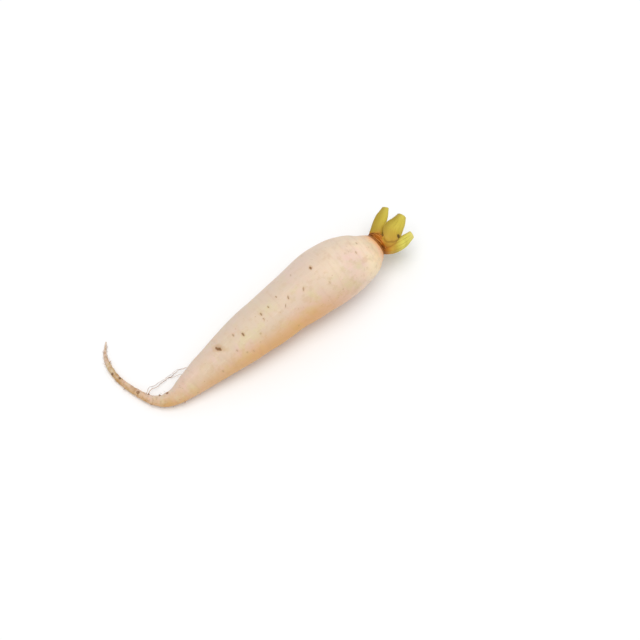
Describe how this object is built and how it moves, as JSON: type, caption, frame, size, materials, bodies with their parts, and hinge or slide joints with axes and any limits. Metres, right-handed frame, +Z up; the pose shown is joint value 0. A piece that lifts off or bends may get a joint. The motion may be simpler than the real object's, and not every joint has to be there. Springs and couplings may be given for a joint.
{
  "type": "daikon radish",
  "caption": "Long white daikon radish lying on its side, with a curled thin tail, root scars and a brown crown of trimmed leaf stubs.",
  "frame": {"origin": "on the surface that the radish lies on, below the middle of its bounding box", "axes": "+X along the root from the tail to the crown, +Y to the side that the tail curls to, +Z up"},
  "size_m": [0.2976, 0.1131, 0.0601],
  "materials": {
    "root_skin": "smooth cream-white root skin with a soft waxy sheen, warmer and tan towards the tail",
    "crown_bark": "dull reddish-brown dried leaf bases",
    "stalk_green": "yellow-green ribbed leaf stalk, satin, with paler cut ends"
  },
  "bodies": {
    "root": {"root": "root_skin", "crown": "crown_bark", "leaf_stub_left": "stalk_green", "leaf_stub_top": "stalk_green", "leaf_stub_right": "stalk_green", "leaf_stub_low_left": "stalk_green", "leaf_stub_low_right": "stalk_green", "leaf_stub_heart": "stalk_green"}
  },
  "joints": []
}
